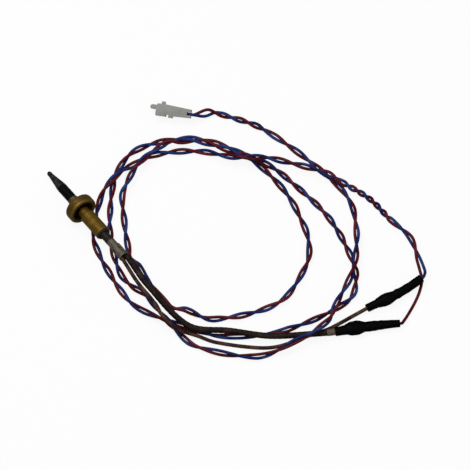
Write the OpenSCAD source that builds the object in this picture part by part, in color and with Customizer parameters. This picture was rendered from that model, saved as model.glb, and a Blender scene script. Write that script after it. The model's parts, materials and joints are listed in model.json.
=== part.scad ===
// Flame sensor probe: a thermocouple tip in a brass flange and sleeve, two short sleeved leads,
// two heat-shrunk splices and a coiled twisted pair that ends in a small two-way latched plug.
//
// Frame: the origin is the middle of the brass sleeve, on the probe's axis. +Z is up from the
// floor that the coil lies on, +X runs from the probe towards the splices, +Y away from them.
// Probe parts are drawn along their own axis: station 0 is the sleeve's middle, + is the tip.

/* [Probe head] */
// Angle of the probe's axis about the vertical, from +X
probe_azimuth = 125.2; // [0:0.1:360]
// Angle by which the tip points down to the floor
probe_pitch = 13.3; // [12:0.1:15]
// Length of the brass sleeve
sleeve_length = 14; // [12:0.5:18]
// Radius of the brass sleeve
sleeve_radius = 3.75; // [3.6:0.05:4.2]
// Length of the groove between sleeve and flange
neck_length = 3.3; // [2.5:0.1:4]
// Radius of the groove between sleeve and flange
neck_radius = 2.9; // [2.8:0.05:3.1]
// Radius of the flange
flange_radius = 7.6; // [7:0.1:8.5]
// Thickness of the flange
flange_thickness = 5; // [4.5:0.1:6]
// Radius of the flange's rounded edges
rim_round = 1; // [0.5:0.1:1.4]

/* [Sensing tip] */
// Length of the steel collar in front of the flange
collar_length = 4.7; // [3:0.1:6]
// Radius of the steel collar
collar_radius = 2.75; // [2.6:0.05:3]
// Radius of the sheath's straight part
sheath_radius = 2.55; // [2.4:0.05:2.55]
// Length of the sheath's straight part
sheath_length = 9.8; // [8:0.1:11]
// Length of the sheath's taper
taper_length = 9.7; // [8:0.1:12]
// Radius of the rounded bead at the tip
bead_radius = 1.2; // [1.1:0.05:1.4]

/* [Tail tube] */
// Radius of the steel tube behind the sleeve
tube_radius = 2.25; // [2.2:0.01:2.3]
// Bore radius of the steel tube
tube_bore = 1.9; // [1.8:0.05:1.95]
// Length of tube between sleeve and ferrule
tube_length = 10.9; // [9:0.1:14]
// Radius of the crimped ferrule
ferrule_radius = 2.7; // [2.6:0.05:3]
// Length of the crimped ferrule
ferrule_length = 8.1; // [7:0.1:10]

/* [Leads] */
// Radius of the thin lead's sleeving
thin_lead_radius = 1; // [0.8:0.05:1]
// Radius of the thick lead's braided sleeving
thick_lead_radius = 1.6; // [1.2:0.05:1.6]
// Radius of the bare conductor in each lead
lead_core_radius = 0.4; // [0.3:0.05:0.45]

/* [Twisted pair] */
// Radius of each insulated wire
wire_radius = 0.72; // [0.5:0.01:0.72]
// Radius of the circle that the two wires twist on where the twist is closest
twist_radius = 0.86; // [0.84:0.01:0.88]
// Usual length of one full twist
twist_lay = 26; // [22:1:30]
// Length of one full twist in the run next to the plug
plug_lay = 17.5; // [14:0.5:20]
// Length of one full twist in the tight stretch near the splices
tight_lay = 10.3; // [9:0.1:12]

/* [Plug] */
// Length of the plug's body
plug_length = 17.7; // [17:0.1:19]
// Height of the plug's body at its front
plug_front_height = 6.2; // [6.2:0.1:6.6]
// Height of the plug's body at its wire end
plug_rear_height = 4.3; // [4.2:0.1:5]
// Width of the plug's body
plug_width = 6.2; // [6.2:0.1:6.6]
// Distance between the two contacts
contact_pitch = 3.5; // [3.4:0.1:3.6]

/* [Hidden] */
fine = 64;
fit = 0.03;

// Stations along the probe's axis
sleeve_front = sleeve_length / 2;
flange_back = sleeve_front + neck_length;
flange_front = flange_back + flange_thickness;
collar_front = flange_front + collar_length;
taper_start = collar_front + sheath_length;
taper_end = taper_start + taper_length;
seal_back = -sleeve_length / 2 - 1;
ferrule_front = seal_back - tube_length + 1;
ferrule_back = ferrule_front - ferrule_length;
shank_radius = collar_radius - 0.6;
shank_back = flange_back + 0.7;
electrode_radius = 0.8;
insulator_radius = 1.45;
spigot_radius = 2.35;
spigot_back = 1;

// Directions: to the tip, and level across the probe
tip_way = [
    cos(probe_azimuth) * cos(probe_pitch), sin(probe_azimuth) * cos(probe_pitch), -sin(probe_pitch)
];
across = [sin(probe_azimuth), -cos(probe_azimuth), 0];

// The flange's rounded front rim rests on the floor
floor_z = -(flange_front - rim_round) * sin(probe_pitch)
    - (flange_radius - rim_round) * cos(probe_pitch) - rim_round;

// Middle of the plug's front face, and its level directions
plug_turn = -8.8;
plug_roll = 25;
plug_at = [30.5, 66.6, floor_z + 4.3];
plug_along = [cos(plug_turn), sin(plug_turn), 0];
plug_up = [-sin(plug_turn) * cos(plug_roll), cos(plug_turn) * cos(plug_roll), sin(plug_roll)];
plug_across = [sin(plug_turn) * sin(plug_roll), -cos(plug_turn) * sin(plug_roll), cos(plug_roll)];

// Inside the plug: u runs back from the front face, v up the side, w across
core_radius = 0.35;
cavity_v = -0.2;
cavity_height = 2.2;
cavity_width = 2.1;
box_front = 1.2;
barrel_front = 8;
latch_root = 8.8;
latch_width = 2;
latch_gap = 0.15;
latch_top = 3;
lug_top = 4.4;
latch_bottom = 2;
root_radius = 0.45;
root_v = 2;

// Each splice: the end where its lead enters, then the end where its wire enters
upper_splice = [[135.9, -42.4, floor_z + 2.5], [163.1, -26.5, floor_z + 3.9]];
lower_splice = [[120, -55.7, floor_z + 3.4], [152.4, -50.6, floor_z + 2.2]];
splice_middle = 10.5;
crimp_length = 9;
crimp_radius = 1.5;
crimp_bore = 0.7;
sleeving_in_splice = 5;
wire_in_splice = 15;
wire_in_plug = 5;
wire_step = 2;

// Each way point of a route: x, y and height above the floor
// From the plug over the outer turn of the coil and back to the probe
outer_turn = [
    [60, 66, 1.8], [84.5, 56.5, 1.6], [121.5, 25.5, 1.6], [129.5, 10.5, 1.8],
    [129.5, -20, 5], [119.5, -43.5, 5], [117.5, -49.5, 5.8], [109, -57.5, 7.2], [104, -60, 6],
    [81.5, -68.5, 1.7], [50.5, -63, 1.6], [40, -53.5, 1.6], [25, -34.5, 1.6], [18, -29.5, 1.6],
    [12.5, -22.5, 1.6], [7.5, -1, 1.6], [9.5, 29, 1.6], [15, 40, 1.6], [21, 45.5, 1.6]
];
// The inner turn, which closes nearest to the probe's tail
inner_turn = [
    [34, 50, 1.6], [53, 51, 1.6], [76, 41.5, 1.6], [94.5, 23, 1.6], [104, 4.5, 1.6],
    [107, -7, 1.6], [105.5, -18.5, 1.6], [91.5, -39, 1.6], [59, -48, 1.6], [44.5, -42.5, 1.6],
    [38, -41.5, 1.6], [25, -24.5, 1.6], [21.5, -18, 1.6], [17.5, -13.5, 1.6], [13.5, 18, 1.8],
    [14.5, 23, 3.6], [22, 36.5, 5]
];
// The middle turn, which passes under the brass sleeve
middle_turn = [
    [36, 48, 5], [41, 48.5, 5], [52.5, 48.5, 5], [74, 41, 5], [82, 38, 5], [89, 35, 2.6],
    [94.5, 31, 1.6], [116, 9, 1.6], [127.5, -12.5, 1.6], [130.5, -26, 1.6], [126.5, -38, 1.6],
    [93.5, -54.5, 1.6], [64, -57.5, 1.6], [50, -54.5, 2.4], [44, -53, 4.4], [35, -50, 5],
    [18.5, -39.5, 1.8], [6.5, -21.5, 1.6], [-0.5, -5.5, 1.6], [-0.5, 1.5, 1.6], [2, 16, 1.6],
    [5, 23.5, 3.4], [11.5, 30.5, 5], [19, 37, 2]
];
// The last run, over the other turns and out to the splices; its second stretch is twisted tight
last_run = [
    [29, 42.5, 1.6], [52, 44.5, 1.6], [69, 39, 7], [76, 38, 8.8], [84, 38, 8.8], [93, 37.5, 5.9],
    [115.5, 31, 5.3], [124.5, 25.5, 4.5], [137, 18.5, 1.6], [147.5, 7, 1.6], [157.5, -3, 1.6],
    [162.5, -17.5, 1.6]
];
// Where the wires run apart between the plug and the twist's start
red_fan = [[56.1, 66.5, 4]];
blue_fan = [[54.7, 63.5, 2.6]];

// The twist's length: each stretch of the pair, by the number of the way point that ends it
twist_stretches = [
    [1, plug_lay], [7, 1.11 * twist_lay], [10, 1.55 * twist_lay], [11, 1.2 * twist_lay],
    [15, 0.88 * twist_lay], [19, 0.96 * twist_lay], [29, 1.05 * twist_lay], [32, 1.4 * twist_lay],
    [33, 1.03 * twist_lay], [46, 0.85 * twist_lay], [47, 1.14 * twist_lay], [51, 2.13 * twist_lay],
    [52, 1.45 * twist_lay], [66, twist_lay], [67, 0.7 * twist_lay], [69, tight_lay],
    [71, 1.1 * twist_lay]
];
steps_per_twist = 8;
twist_start_angle = -65;
twist_end_angle = -20;

// The twist opens by up to loose_gap and closes again, this often along the pair
loose_gap = 0.12;
loose_every = 83;

// Where the loose wires run between the twist's end and their splices
red_tail = [
    [162.4, -21, 0.8], [163.3, -25, 0.75], [163.1, -28.5, 0.75], [161.4, -34.7, 0.75],
    [157.9, -42.4, 0.9]
];
blue_tail = [[164.5, -20.5, 2.6], [164.9, -23.4, 3.7]];
// Where the leads run between the ferrule and their splices
thin_lead_run = [
    [21.5, -34, 14.2], [28.5, -42, 11.6], [34, -50, 9.4], [42.5, -56, 6.2], [51.5, -58, 3],
    [60, -60.5, 1.2], [81.5, -63.5, 1], [92.5, -62.5, 1], [110, -55.5, 1], [117, -53, 1]
];
thick_lead_run = [
    [20, -26.2, 15.4], [25.2, -33.6, 14.2], [46.5, -54, 7.2], [67.5, -56, 5.1], [84.5, -58.5, 4.8],
    [94, -58, 3.4], [107, -57.3, 3.9]
];

// ---- Curves through way points ----

function unit(v) = v / norm(v);
function above_floor(run) = [for (p = run) [p.x, p.y, p.z + floor_z]];
function chord(p, i) = norm(p[i + 1] - p[i]);

// Unit-speed slope of the curve at way point i
function slope_at(p, i) =
    let (a = max(i - 1, 0), b = min(i + 1, len(p) - 1))
    (p[b] - p[a]) / (b - a == 2 ? chord(p, a) + chord(p, a + 1) : chord(p, a));

// Point at share t of the curve's stretch from way point i to the next
function between(p, i, t) =
    let (h = chord(p, i), rise = t * t * (3 - 2 * t))
    (1 - rise) * p[i] + rise * p[i + 1]
    + h * t * (1 - t) * ((1 - t) * slope_at(p, i) - t * slope_at(p, i + 1));

// Points along the curve from one way point to another, at most a step apart
function curve(p, step, first, last) = [
    for (i = [first : last - 1])
        let (n = ceil(chord(p, i) / step))
        for (k = [0 : n - 1]) between(p, i, k / n),
    p[last]
];

// ---- The twisted pair ----

pair_way = above_floor(concat(outer_turn, inner_turn, middle_turn, last_run));
function lay_at(i) = [for (stretch = twist_stretches) if (i < stretch[0]) stretch[1]][0];

// A point of the pair's middle line, no lower than the pair lying on the floor
function on_floor(p) = [p.x, p.y, max(p.z, floor_z + twist_radius + loose_gap + wire_radius)];

// Points along the pair's middle line, each with the lay there
pair_middle = [
    for (i = [0 : len(pair_way) - 2])
        let (n = ceil(chord(pair_way, i) / (lay_at(i) / steps_per_twist)))
        for (k = [0 : n - 1]) [on_floor(between(pair_way, i, k / n)), lay_at(i)]
];
pair_points = [for (m = pair_middle) m[0]];
pair_last = len(pair_points) - 1;
pair_far = [
    for (i = 0, far = 0; i <= pair_last;
        far = far + (i < pair_last ? chord(pair_points, i) : 0), i = i + 1) far
];

// Angle turned so far at each point, stretched a little so that the pair ends at its end angle
pair_twist = [
    for (i = 0, turn = 0; i <= pair_last;
        turn = turn + (i < pair_last ? 360 * chord(pair_points, i) / pair_middle[i][1] : 0), i = i + 1) turn
];
twist_total = round(pair_twist[pair_last] / 360) * 360 + twist_end_angle - twist_start_angle;
pair_turn = [for (t = pair_twist) twist_start_angle + t * twist_total / pair_twist[pair_last]];

// Middle of one wire of the pair at point i; side is 0 for one wire and 180 for the other
function twisted(i, side) =
    let (
        way = slope_at(pair_points, i),
        level = unit(cross([0, 0, 1], way)),
        upward = unit(cross(way, level)),
        radius = twist_radius + loose_gap * pow(sin(180 * pair_far[i] / loose_every), 2)
    )
    pair_points[i] + radius * (cos(pair_turn[i] + side) * level + sin(pair_turn[i] + side) * upward);

function plug_point(u, v, w) = plug_at + u * plug_along + v * plug_up + w * plug_across;
function splice_point(splice, far) = splice[0] + far * unit(splice[1] - splice[0]);
function splice_length(splice) = norm(splice[1] - splice[0]);

// A whole wire: out of the plug, along the twist, then to the far end of its splice
function wire_path(side, w, fan, tail, splice) =
    let (
        far = splice_length(splice),
        start = concat(
            [for (u = [plug_length - wire_in_plug, plug_length - 0.3, plug_length + 1.2])
                plug_point(u, cavity_v, w)],
            above_floor(fan), [twisted(0, side), twisted(1, side)]
        ),
        end = concat(
            [twisted(pair_last - 1, side), twisted(pair_last, side)], above_floor(tail),
            [splice_point(splice, far + 1), splice_point(splice, far - 0.5),
            splice_point(splice, wire_in_splice)]
        )
    )
    concat(
        curve(start, wire_step, 0, len(start) - 2),
        [for (i = [1 : pair_last - 1]) twisted(i, side)],
        curve(end, wire_step, 1, len(end) - 1)
    );

function probe_point(station, offset) = station * tip_way + offset * across;

// A whole lead: from inside the tube, out of the ferrule, along its run and into its splice
function lead_way(offset, run, splice) = concat(
    [probe_point(ferrule_front - 1, sign(offset) * 0.75), probe_point(ferrule_back + 3, sign(offset) * 0.9),
    probe_point(ferrule_back - 0.9, offset)],
    above_floor(run),
    [splice_point(splice, -5.5), splice_point(splice, -4.5), splice_point(splice, sleeving_in_splice)]
);
thin_lead_way = lead_way(-1.45, thin_lead_run, upper_splice);
thick_lead_way = lead_way(1.25, thick_lead_run, lower_splice);
lead_step = 4.5;

// ---- Swept solids ----

// One ring of a sweep: sides points on an ellipse around path point i, shifted up or sideways
function ring(path, i, wide, high, sides, shift) =
    let (
        way = slope_at(path, i),
        level = unit(cross([0, 0, 1], way)),
        upward = unit(cross(way, level))
    )
    [for (k = [0 : sides - 1])
        path[i] + (shift + wide * cos(360 * k / sides)) * level + high * sin(360 * k / sides) * upward];

// Faces of the wall between rings a and b, numbered by their first points
function wall(a, b, sides) = [
    for (k = [0 : sides - 1])
        let (n = (k + 1) % sides)
        each [[a + k, b + k, b + n], [a + k, b + n, a + n]]
];

// Solid round bar along a path
module bar(path, radius, sides) {
    last = len(path) - 1;
    points = [for (i = [0 : last]) each ring(path, i, radius, radius, sides, 0)];
    sides_faces = [for (i = [0 : last - 1]) each wall(i * sides, (i + 1) * sides, sides)];
    caps = [[for (k = [0 : sides - 1]) k], [for (k = [sides - 1 : -1 : 0]) last * sides + k]];
    polyhedron(points, concat(sides_faces, caps));
}

// Hollow tube along a path: outer is [half width, half height, sideways shift] and inner a bore
// radius, one of each for every point of the path
module hose(path, outer, inner, sides) {
    last = len(path) - 1;
    inside = (last + 1) * sides;
    points = concat(
        [for (i = [0 : last]) each ring(path, i, outer[i][0], outer[i][1], sides, outer[i][2])],
        [for (i = [0 : last]) each ring(path, i, inner[i], inner[i], sides, 0)]
    );
    faces = concat(
        [for (i = [0 : last - 1]) each wall(i * sides, (i + 1) * sides, sides)],
        [for (i = [0 : last - 1]) each wall(inside + (i + 1) * sides, inside + i * sides, sides)],
        wall(inside, 0, sides),
        wall(last * sides, inside + last * sides, sides)
    );
    polyhedron(points, faces);
}

// Puts a shape drawn along +Z on the probe's axis, + towards the tip
module on_probe() {
    rotate([0, 90 + probe_pitch, probe_azimuth]) children();
}

// Puts a shape drawn with x along the plug, y up its side and z across it
module on_plug() {
    translate(plug_at) rotate([plug_roll, 0, plug_turn]) children();
}

// Puts a shape drawn along +Z on a splice's axis, with its lead end at z = 0
module on_splice(splice) {
    way = unit(splice[1] - splice[0]);
    translate(splice[0]) rotate([0, acos(way.z), atan2(way.y, way.x)]) children();
}

// Round tube between two stations
module tube(from, to, outer, bore) {
    translate([0, 0, from])
        difference() {
            cylinder(h = to - from, r = outer, $fn = fine);
            translate([0, 0, -1]) cylinder(h = to - from + 2, r = bore, $fn = fine);
        }
}

// ---- Sensing tip ----

// Welded bead that joins sheath and inner electrode at the hot end
module tip_weld() {
    color([0.16, 0.17, 0.17]) on_probe()
        translate([0, 0, taper_end]) {
            cylinder(h = bead_radius, r = bead_radius, $fn = fine);
            translate([0, 0, bead_radius]) sphere(r = bead_radius, $fn = fine);
        }
}

// Hollow outer electrode: shank in the flange, straight part, then the taper
module sheath() {
    bore = insulator_radius + fit;
    color([0.1, 0.1, 0.11]) on_probe()
        rotate_extrude($fn = fine)
            polygon([
                [bore, shank_back], [shank_radius, shank_back], [shank_radius, collar_front],
                [sheath_radius, collar_front], [sheath_radius, taper_start],
                [bead_radius, taper_end], [electrode_radius + fit, taper_end],
                [electrode_radius + fit, taper_end - 2], [bore, taper_start]
            ]);
}

// Inner electrode, from the weld back into the tail tube
module inner_electrode() {
    color([0.55, 0.53, 0.5]) on_probe()
        translate([0, 0, seal_back]) cylinder(h = taper_end - seal_back, r = electrode_radius, $fn = fine);
}

// Glass-fibre tube that keeps the two electrodes apart
module electrode_insulator() {
    color([0.8, 0.76, 0.66]) on_probe()
        tube(seal_back + 2, taper_start, insulator_radius, electrode_radius + fit);
}

// Steel collar that backs the sheath where it enters the flange
module sheath_collar() {
    color([0.33, 0.33, 0.31]) on_probe()
        tube(flange_front, collar_front, collar_radius, shank_radius + fit);
}

// ---- Brass body ----

// Flange with a recess behind its rim, the neck with a finer relief next to the sleeve, and the
// spigot inside the sleeve
module flange_hub() {
    recess = 2;
    rim_inner = flange_radius - 1.9;
    relief_length = 0.8;
    relief_radius = neck_radius - 0.45;
    color([0.5, 0.36, 0.13]) on_probe()
        difference() {
            union() {
                rotate_extrude($fn = fine)
                    difference() {
                        union() {
                            translate([0, flange_back])
                                square([flange_radius - rim_round, flange_thickness]);
                            translate([0, flange_back + rim_round])
                                square([flange_radius, flange_thickness - 2 * rim_round]);
                            for (y = [flange_back + rim_round, flange_front - rim_round])
                                translate([flange_radius - rim_round, y]) circle(r = rim_round, $fn = fine);
                        }
                        translate([neck_radius, flange_back - 1])
                            square([rim_inner - neck_radius, 1 + recess]);
                    }
                translate([0, 0, sleeve_front + relief_length])
                    cylinder(h = neck_length - relief_length + recess, r = neck_radius, $fn = fine);
                translate([0, 0, sleeve_front])
                    cylinder(h = relief_length, r = relief_radius, $fn = fine);
                translate([0, 0, spigot_back])
                    cylinder(h = sleeve_front - spigot_back, r = spigot_radius, $fn = fine);
            }
            translate([0, 0, spigot_back - 1])
                cylinder(h = shank_back - spigot_back + 1, r = insulator_radius + fit, $fn = fine);
            translate([0, 0, shank_back])
                cylinder(h = flange_front - shank_back + 1, r = shank_radius + fit, $fn = fine);
        }
}

// Plain brass sleeve that the burner's bracket holds
module mounting_sleeve() {
    color([0.55, 0.41, 0.15]) on_probe()
        difference() {
            translate([0, 0, -sleeve_length / 2]) cylinder(h = sleeve_length, r = sleeve_radius, $fn = fine);
            translate([0, 0, -sleeve_length / 2 - 1])
                cylinder(h = sleeve_length + 2, r = tube_radius + fit, $fn = fine);
            translate([0, 0, spigot_back - fit])
                cylinder(h = sleeve_length, r = spigot_radius + fit, $fn = fine);
        }
}

// Dark ring that closes the gap between sleeve and tube
module rear_seal_ring() {
    color([0.06, 0.055, 0.05]) on_probe()
        tube(seal_back, -sleeve_length / 2, sleeve_radius - 0.5, tube_radius + fit);
}

// ---- Tail ----

// Thin steel tube that carries the leads out of the sleeve
module support_tube() {
    color([0.38, 0.36, 0.33]) on_probe()
        tube(ferrule_back + 1.5, spigot_back - 2 * fit, tube_radius, tube_bore);
}

// Ferrule pressed over the tube's end, with two rows of crimp dents
module crimp_ferrule() {
    dent_depth = 0.2;
    dent_radius = 1.2;
    dent_from_axis = ferrule_radius - dent_depth + dent_radius;
    color([0.42, 0.4, 0.37]) on_probe()
        difference() {
            tube(ferrule_back, ferrule_front, ferrule_radius, tube_radius + fit);
            for (turn = [20 : 90 : 290])
                rotate([0, 0, turn])
                    translate([dent_from_axis, 0, (ferrule_front + ferrule_back) / 2])
                        rotate([90, 0, 0]) cylinder(h = 2.4, r = dent_radius, center = true, $fn = fine);
        }
}

// ---- Leads ----

module lead_core(way, splice) {
    straight = [splice_point(splice, splice_middle - 0.2)];
    path = concat(curve(way, lead_step, 0, len(way) - 1), straight);
    bar(path, lead_core_radius, 6);
}

module lead_sleeving(way, radius) {
    path = curve(way, lead_step, 2, len(way) - 1);
    hose(path, [for (p = path) [radius, radius, 0]], [for (p = path) lead_core_radius + 0.12], 8);
}

// Bare conductor of the thin lead, from the tail tube to its crimp
module thin_lead_core() {
    color([0.7, 0.45, 0.3]) lead_core(thin_lead_way, upper_splice);
}

// Glass-fibre sleeving of the thin lead
module thin_lead_sleeving() {
    color([0.3, 0.2, 0.15]) lead_sleeving(thin_lead_way, thin_lead_radius);
}

// Bare conductor of the thick lead, from the tail tube to its crimp
module thick_lead_core() {
    color([0.7, 0.45, 0.3]) lead_core(thick_lead_way, lower_splice);
}

// Braided sleeving of the thick lead
module thick_lead_sleeving() {
    color([0.24, 0.16, 0.12]) lead_sleeving(thick_lead_way, thick_lead_radius);
}

// Short clear tube slipped over the thick lead next to its splice
module thick_lead_end_tube() {
    color([0.35, 0.3, 0.26]) on_splice(lower_splice)
        tube(-4.2, -0.3, thick_lead_radius + 0.2, thick_lead_radius + fit);
}

// ---- Splices ----

// Copper barrel that joins a lead's conductor to a wire's
module splice_barrel(splice) {
    on_splice(splice)
        difference() {
            translate([0, 0, splice_middle - crimp_length / 2])
                cylinder(h = crimp_length, r = crimp_radius, $fn = fine);
            cylinder(h = splice_middle + crimp_length, r = crimp_bore, $fn = fine);
        }
}

module upper_splice_crimp() {
    color([0.72, 0.7, 0.66]) splice_barrel(upper_splice);
}

module lower_splice_crimp() {
    color([0.72, 0.7, 0.66]) splice_barrel(lower_splice);
}

// Heat-shrink sleeve: stations of [distance, half width, half height, sideways shift, bore]
module heatshrink(splice, stations) {
    path = [for (s = stations) splice_point(splice, s[0])];
    hose(path, [for (s = stations) [s[1], s[2], s[3]]], [for (s = stations) s[4]], 20);
}

module upper_heatshrink() {
    far = splice_length(upper_splice);
    lead_bore = thin_lead_radius + 0.05;
    barrel_bore = crimp_radius + 0.08;
    wire_bore = wire_radius + 0.06;
    color([0.03, 0.03, 0.03]) heatshrink(upper_splice, [
        [0, 2.1, 2.1, 0, lead_bore], [3, 2.1, 2.1, 0, lead_bore], [5.6, 2.2, 2.1, 0, lead_bore],
        [5.9, 2.5, 2.2, 0, barrel_bore], [9, 3, 2.4, 0, barrel_bore], [12, 2.9, 2.4, 0, barrel_bore],
        [15.2, 2.4, 2.2, 0, barrel_bore], [16, 2.3, 2.2, 0, wire_bore], [24, 2.3, 2.2, 0, wire_bore],
        [far, 2.2, 2.2, 0, wire_bore]
    ]);
}

module lower_heatshrink() {
    far = splice_length(lower_splice);
    lead_bore = thick_lead_radius + 0.05;
    barrel_bore = crimp_radius + 0.08;
    wire_bore = wire_radius + 0.06;
    color([0.03, 0.03, 0.03]) heatshrink(lower_splice, [
        [0, 2.3, 2.2, 0, lead_bore], [3, 2.4, 2.2, 0, lead_bore], [5.5, 2.6, 2.4, 0.1, lead_bore],
        [5.9, 2.9, 2.4, 0.2, barrel_bore], [8, 3.7, 2.7, 0.3, barrel_bore],
        [11.5, 3.9, 2.7, 0.3, barrel_bore], [14, 3.2, 2.5, 0.2, barrel_bore],
        [15.2, 2.9, 2.4, 0.1, barrel_bore], [16, 2.8, 2.3, 0, wire_bore],
        [24, 2.3, 2.1, 0, wire_bore], [far, 1.9, 1.9, 0, wire_bore]
    ]);
}

// ---- Wires ----

red_path = wire_path(180, -contact_pitch / 2, red_fan, red_tail, lower_splice);
blue_path = wire_path(0, contact_pitch / 2, blue_fan, blue_tail, upper_splice);

module red_wire() {
    color([0.4, 0.06, 0.12]) bar(red_path, wire_radius, 6);
}

module blue_wire() {
    color([0.11, 0.16, 0.46]) bar(blue_path, wire_radius, 6);
}

// Stripped ends of a wire's conductor: one in its splice crimp, one in its contact
module wire_core(splice, w) {
    on_splice(splice)
        translate([0, 0, splice_middle + 0.2])
            cylinder(h = wire_in_splice - splice_middle - 0.2 - fit, r = core_radius, $fn = fine);
    on_plug()
        translate([barrel_front + 0.4, cavity_v, w]) rotate([0, 90, 0])
            cylinder(h = plug_length - wire_in_plug - fit - barrel_front - 0.4, r = core_radius, $fn = fine);
}

module red_wire_core() {
    color([0.75, 0.42, 0.25]) wire_core(lower_splice, -contact_pitch / 2);
}

module blue_wire_core() {
    color([0.75, 0.42, 0.25]) wire_core(upper_splice, contact_pitch / 2);
}

// ---- Plug ----

// Top edge of the body's side at distance u from the front
function body_top(u) =
    plug_front_height / 2 - (plug_front_height - plug_rear_height) / 2 * max(u - 4, 0) / (plug_length - 4);

module side_profile() {
    low = -plug_front_height / 2;
    foot = low - 0.3;
    rear = plug_rear_height / 2;
    polygon([
        [0, -2.6], [0.4, low], [5.3, low], [5.3, -2.1], [6.6, -2.1], [6.6, foot], [8.7, foot],
        [8.7, -2.5], [plug_length, -rear], [plug_length, rear], [4, plug_front_height / 2],
        [0.6, plug_front_height / 2], [0.2, 2.3], [-2.3, 2.3], [-3, 1.6], [-3, 0.6],
        [-2.3, -0.05], [0, -0.05]
    ]);
}

module cavity(w) {
    translate([box_front - 0.3, cavity_v - cavity_height / 2, w - cavity_width / 2])
        cube([plug_length, cavity_height, cavity_width]);
    translate([-1, cavity_v - 0.5, w - 0.5]) cube([3, 0.6, 1]);
}

// Nylon body with two contact cavities, a keyed nose, a slot for the latch, and a wire end that is
// open at its sides
module plug_housing() {
    slot = latch_width + 2 * latch_gap;
    window = [2, 1.8];
    color([0.6, 0.6, 0.58]) on_plug()
        difference() {
            union() {
                translate([0, 0, -plug_width / 2]) linear_extrude(plug_width)
                    intersection() {
                        side_profile();
                        translate([0, -10]) square([30, 20]);
                    }
                translate([0, 0, -1.6]) linear_extrude(3.2) side_profile();
            }
            for (w = [-contact_pitch / 2, contact_pitch / 2]) cavity(w);
            translate([plug_length - window.x, cavity_v - window.y / 2, -plug_width])
                cube([2 * window.x, window.y, 2 * plug_width]);
            translate([0.9, 1.2, -slot / 2]) cube([latch_root - 0.9, 3, slot]);
            translate([latch_root, root_v, -slot / 2])
                cylinder(h = slot, r = root_radius + latch_gap / 3, $fn = fine);
        }
}

// Latch arm with its locking lug; it bends about its root
module plug_latch() {
    color([0.62, 0.62, 0.6]) on_plug()
        translate([0, 0, -latch_width / 2]) {
            linear_extrude(latch_width)
                polygon([
                    [1.1, latch_bottom], [latch_root, latch_bottom - 0.35],
                    [latch_root, body_top(latch_root) - 0.3], [4.5, latch_top], [4.3, lug_top],
                    [2.5, lug_top], [2.3, latch_top], [1.1, latch_top]
                ]);
            translate([latch_root, root_v, 0]) cylinder(h = latch_width, r = root_radius, $fn = fine);
        }
}

// Tinned contact: a box that takes the mating pin, then a barrel crimped on the conductor
module contact(w) {
    on_plug()
        translate([0, cavity_v, w]) {
            difference() {
                translate([box_front, -0.9, -0.9]) cube([5, 1.8, 1.8]);
                translate([box_front - 1, -0.6, -0.6]) cube([5.5, 1.2, 1.2]);
            }
            translate([box_front + 5, -0.9, -0.6]) cube([2, 0.5, 1.2]);
            difference() {
                translate([barrel_front, 0, 0]) rotate([0, 90, 0]) cylinder(h = 3.6, r = 0.9, $fn = fine);
                translate([barrel_front - 1, 0, 0]) rotate([0, 90, 0])
                    cylinder(h = 6, r = core_radius + fit, $fn = fine);
            }
            translate([box_front + 6.5, -0.9, -0.5]) cube([1, 0.4, 1]);
        }
}

module red_contact() {
    color([0.75, 0.74, 0.7]) contact(-contact_pitch / 2);
}

module blue_contact() {
    color([0.75, 0.74, 0.7]) contact(contact_pitch / 2);
}

tip_weld();
sheath();
inner_electrode();
electrode_insulator();
sheath_collar();
flange_hub();
mounting_sleeve();
rear_seal_ring();
support_tube();
crimp_ferrule();
thin_lead_core();
thin_lead_sleeving();
thick_lead_core();
thick_lead_sleeving();
thick_lead_end_tube();
upper_splice_crimp();
upper_heatshrink();
lower_splice_crimp();
lower_heatshrink();
red_wire();
blue_wire();
red_wire_core();
blue_wire_core();
plug_housing();
plug_latch();
red_contact();
blue_contact();
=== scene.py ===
"""Looks of the flame sensor probe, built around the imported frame: metres, in the frame's own axes."""

import json
import math

import bmesh
import bpy
import numpy as np
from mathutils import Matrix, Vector, noise

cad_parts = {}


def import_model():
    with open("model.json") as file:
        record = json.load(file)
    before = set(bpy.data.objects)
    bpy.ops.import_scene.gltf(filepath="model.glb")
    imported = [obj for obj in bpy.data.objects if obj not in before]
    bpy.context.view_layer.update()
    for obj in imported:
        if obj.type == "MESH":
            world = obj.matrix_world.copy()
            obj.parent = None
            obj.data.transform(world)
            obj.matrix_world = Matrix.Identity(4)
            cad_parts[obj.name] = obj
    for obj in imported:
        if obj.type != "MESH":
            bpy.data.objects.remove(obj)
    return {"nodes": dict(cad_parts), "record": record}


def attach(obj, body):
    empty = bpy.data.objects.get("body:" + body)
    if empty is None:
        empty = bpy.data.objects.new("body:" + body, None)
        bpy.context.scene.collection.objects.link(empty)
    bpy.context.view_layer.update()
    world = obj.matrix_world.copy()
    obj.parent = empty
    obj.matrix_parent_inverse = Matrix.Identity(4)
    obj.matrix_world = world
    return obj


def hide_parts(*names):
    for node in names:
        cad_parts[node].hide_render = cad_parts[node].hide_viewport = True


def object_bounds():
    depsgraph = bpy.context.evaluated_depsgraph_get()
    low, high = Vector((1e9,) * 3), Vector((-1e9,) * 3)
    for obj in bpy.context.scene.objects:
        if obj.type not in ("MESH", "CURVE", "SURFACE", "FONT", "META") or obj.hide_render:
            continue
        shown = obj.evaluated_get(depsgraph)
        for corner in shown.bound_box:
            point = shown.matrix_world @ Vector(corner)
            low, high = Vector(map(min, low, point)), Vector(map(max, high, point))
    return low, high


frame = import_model()
cad_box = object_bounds()

MM = 0.001
MERGE = 1e-7
CABLE = "probe_and_cable"
LATCH = "latch"
LATHE_SIDES = 128
WIRE_SIDES = 20
SHRINK_SIDES = 48
# Edges sharper than this many degrees stay crisp
SHARP = 40
# Play between two pieces that fit into each other, in mm
GAP = 0.03

mounts = {m["name"]: m for m in frame["record"]["mounts"]}
FLOOR_Z = cad_box[0].z

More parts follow.
